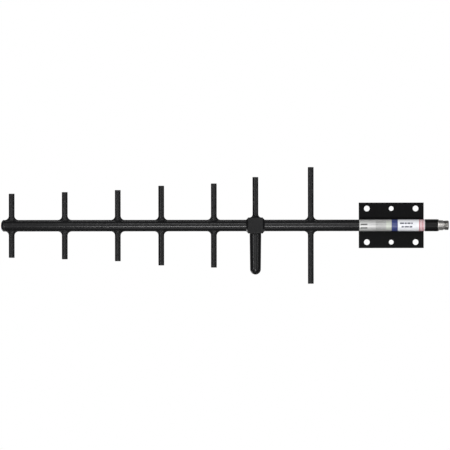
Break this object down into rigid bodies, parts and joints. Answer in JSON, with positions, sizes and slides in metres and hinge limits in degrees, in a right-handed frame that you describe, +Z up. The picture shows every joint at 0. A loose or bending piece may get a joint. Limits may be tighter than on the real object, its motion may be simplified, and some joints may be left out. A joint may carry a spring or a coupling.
{
  "type": "yagi antenna",
  "caption": "Welded directional yagi antenna with straight rod elements on a round boom, a covered feed, a flat mast plate and a coaxial jack at its rear end.",
  "frame": {"origin": "centre of the mounting plate's rear face, the face that bears on the mast", "axes": "+X along the boom, from the front cap towards the coaxial jack; +Y from the boom to the mast, normal to the plate; +Z up along the elements, away from the gamma cover"},
  "size_m": [0.7387, 0.027, 0.1924],
  "materials": {
    "black_coat": "satin",
    "bare_aluminium": "satin",
    "brass": "satin",
    "steel": "satin",
    "white_insulator": "satin",
    "black_cover": "satin",
    "black_rubber": "matte",
    "black_sleeve": "satin",
    "cable_jacket": "satin",
    "silvered_wire": "polished",
    "nickel": "satin",
    "gold": "polished",
    "silver_label": "satin",
    "white_label": "satin"
  },
  "bodies": {
    "root": {"boom_front_cap": "black_coat", "boom_tube": "black_coat", "bushing_screws": "steel", "coax_centre_wire": "silvered_wire", "coax_dielectric": "white_insulator", "coax_ferrule": "brass", "connector_bushing": "bare_aluminium", "connector_contact": "gold", "connector_insulator": "white_insulator", "connector_shell": "nickel", "cover_gasket": "black_rubber", "data_label": "silver_label", "director_rod_1": "black_coat", "director_rod_2": "black_coat", "director_rod_3": "black_coat", "director_rod_4": "black_coat", "director_rod_5": "black_coat", "director_welds_1": "black_coat", "director_welds_2": "black_coat", "director_welds_3": "black_coat", "director_welds_4": "black_coat", "director_welds_5": "black_coat", "driven_rod_lower": "bare_aluminium", "driven_rod_upper": "black_coat", "driven_rod_weld": "black_coat", "feed_block": "black_coat", "feed_block_welds": "black_coat", "feed_coax": "cable_jacket", "gamma_cover": "black_cover", "gamma_spacer": "white_insulator", "gamma_strap": "bare_aluminium", "gamma_tube": "brass", "mounting_plate": "black_coat", "plate_welds": "black_coat", "reflector_rod": "black_coat", "reflector_welds": "black_coat", "strap_screw": "steel", "stripe_label": "white_label", "weather_sleeve": "black_sleeve"}
  },
  "joints": []
}
